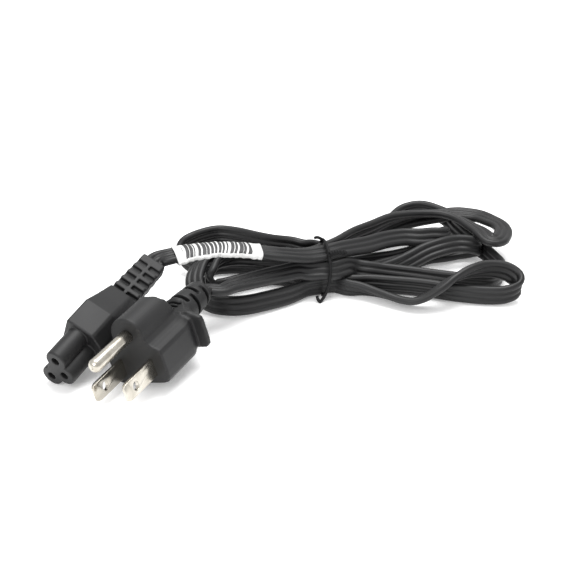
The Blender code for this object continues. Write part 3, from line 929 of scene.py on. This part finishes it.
def label_panel(look, along, turned):
    """Where the bars are printed: clear of the label's two ends and of the flap below."""
    after_margin = math_node(look, "GREATER_THAN", along, PANEL_START)
    before_margin = math_node(look, "LESS_THAN", along, PANEL_END)
    from_flap = math_node(look, "ABSOLUTE", math_node(look, "SUBTRACT", turned, 0.5))
    clear_of_flap = math_node(look, "GREATER_THAN", from_flap, FLAP_SHARE)
    inside = math_node(look, "MULTIPLY", after_margin, before_margin)
    return math_node(look, "MULTIPLY", inside, clear_of_flap)


def label_look():
    """Creased white paper with plain dark bars of uneven width across it."""
    look, shader = new_look("label_finish", (0.86, 0.86, 0.85), 0.55)
    nodes = look.node_tree.nodes
    wrap = nodes.new("ShaderNodeUVMap")
    wrap.uv_map = "wrap"
    split = nodes.new("ShaderNodeSeparateXYZ")
    link(look, wrap.outputs["UV"], split.inputs["Vector"])
    along, turned = split.outputs["X"], split.outputs["Y"]
    bars = label_bars(look, along, turned)
    printed = math_node(look, "MULTIPLY", bars, label_panel(look, along, turned))
    fibre = add_noise(look, 500.0, 4.0)
    paper = add_ramp(look, fibre.outputs["Fac"], 0.3, 0.7, (0.58, 0.58, 0.575), (0.7, 0.7, 0.69))
    mix = nodes.new("ShaderNodeMixRGB")
    link(look, printed, mix.inputs["Fac"])
    link(look, paper.outputs["Color"], mix.inputs["Color1"])
    mix.inputs["Color2"].default_value = (0.03, 0.03, 0.031, 1.0)
    link(look, mix.outputs["Color"], shader.inputs["Base Color"])
    add_bump(look, shader, fibre, 0.3, 0.08)
    return look


def tie_look():
    """Black plastic over wire, a little rough."""
    look, shader = new_look("tie_finish", (0.018, 0.018, 0.019), 0.55)
    shader.inputs["Specular IOR Level"].default_value = 0.12
    grain = add_noise(look, 1800.0, 3.0)
    add_tone(look, shader, grain, 0.3, 0.7, (0.008, 0.008, 0.0085), (0.014, 0.014, 0.0145))
    add_bump(look, shader, grain, 0.3, 0.08)
    return look


def floor_look():
    """Pale floor that glows slightly, so that it fades out behind the part."""
    look, shader = new_look("floor_finish", (0.93, 0.93, 0.93), 0.35)
    shader.inputs["Specular IOR Level"].default_value = 0.25
    shader.inputs["Emission Color"].default_value = (1.0, 1.0, 1.0, 1.0)
    shader.inputs["Emission Strength"].default_value = 0.2
    return look


def build_view():
    """Plain colours, so that the pale floor comes out white and the black plastic dark."""
    bpy.context.scene.view_settings.view_transform = "Standard"


def build_floor():
    bm = bmesh.new()
    bmesh.ops.create_grid(bm, x_segments=1, y_segments=1, size=FLOOR_HALF)
    floor = finish_mesh("studio_floor", bm, floor_look())
    floor.location = FLOOR_MIDDLE


def build_camera():
    data = bpy.data.cameras.new("photo_camera")
    data.lens = CAMERA_LENS
    data.sensor_width = SENSOR
    camera = bpy.data.objects.new("photo_camera", data)
    camera.location = placed(CAMERA_PLACE)
    camera.rotation_euler = (math.radians(90.0 - CAMERA_DOWN), 0.0, 0.0)
    bpy.context.scene.collection.objects.link(camera)
    bpy.context.scene.camera = camera


def area_light(name, place, size, power):
    """A round soft light, its place in millimetres, aimed at the floor under the hank."""
    data = bpy.data.lights.new(name, "AREA")
    data.shape = "DISK"
    data.size = size
    data.energy = power
    lamp = bpy.data.objects.new(name, data)
    lamp.location = placed(place)
    aim = placed((0.0, 0.0, 0.0)) - lamp.location
    lamp.rotation_euler = aim.to_track_quat("-Z", "Y").to_euler()
    bpy.context.scene.collection.objects.link(lamp)


def build_lights():
    world = bpy.data.worlds.new("studio")
    world.use_nodes = True
    background = world.node_tree.nodes["Background"]
    background.inputs["Color"].default_value = (1.0, 1.0, 1.0, 1.0)
    background.inputs["Strength"].default_value = 0.85
    bpy.context.scene.world = world
    area_light("top_softbox", (60.0, 150.0, 900.0), 0.7, 9.0)
    area_light("front_softbox", (-350.0, -650.0, 500.0), 0.6, 3.0)


def dress(piece, nodes):
    """The piece stands for its CAD nodes, which it hides, and rides on the body."""
    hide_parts(*nodes)
    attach(piece, "root")


def dress_plug(pvc):
    """The plug's housing, and the list of its two blades and ground pin."""
    carry = own_frame(PLUG_FACE, PLUG_X, PLUG_Y)
    nickel = nickel_look()
    plug = build_plug(carry, pvc)
    dress(plug, ("plug_housing",))
    pins = []
    for name, side in (("line_blade", -1), ("neutral_blade", 1)):
        blade = build_blade(name + "_metal", side, carry, nickel)
        dress(blade, (name,))
        pins.append(blade)
    ground = build_ground_pin(carry, nickel)
    dress(ground, ("ground_pin",))
    pins.append(ground)
    return plug, pins


def dress_connector(pvc):
    """The connector's housing, and for the sleeves that CAD made a finish painted nearly black as painted
    shade of the holes.
    """
    connector = build_connector(own_frame(CONNECTOR_FACE, CONNECTOR_X, CONNECTOR_Y), pvc)
    dress(connector, ("connector_housing",))
    contacts = contact_shade_look()
    for name in ("line_contact", "neutral_contact", "earth_contact"):
        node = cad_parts[name]
        node.data.materials.clear()
        node.data.materials.append(contacts)


def main():
    build_camera()
    pvc = moulded_pvc_look()
    route = spaced(smooth_route(settle(smooth_route(cord_route())), 4), CORD_STEP)
    cord = build_cord(route, cord_pvc_look())
    dress(cord, ("cord_hank", "connector_tail", "plug_tail"))
    label = build_label(route, label_look())
    dress(label, ("cord_label",))
    tie = build_tie(tie_look())
    dress(tie, ("twist_tie",))
    plug, pins = dress_plug(pvc)
    dress_connector(pvc)

    build_floor()
    build_lights()
    build_view()


main()
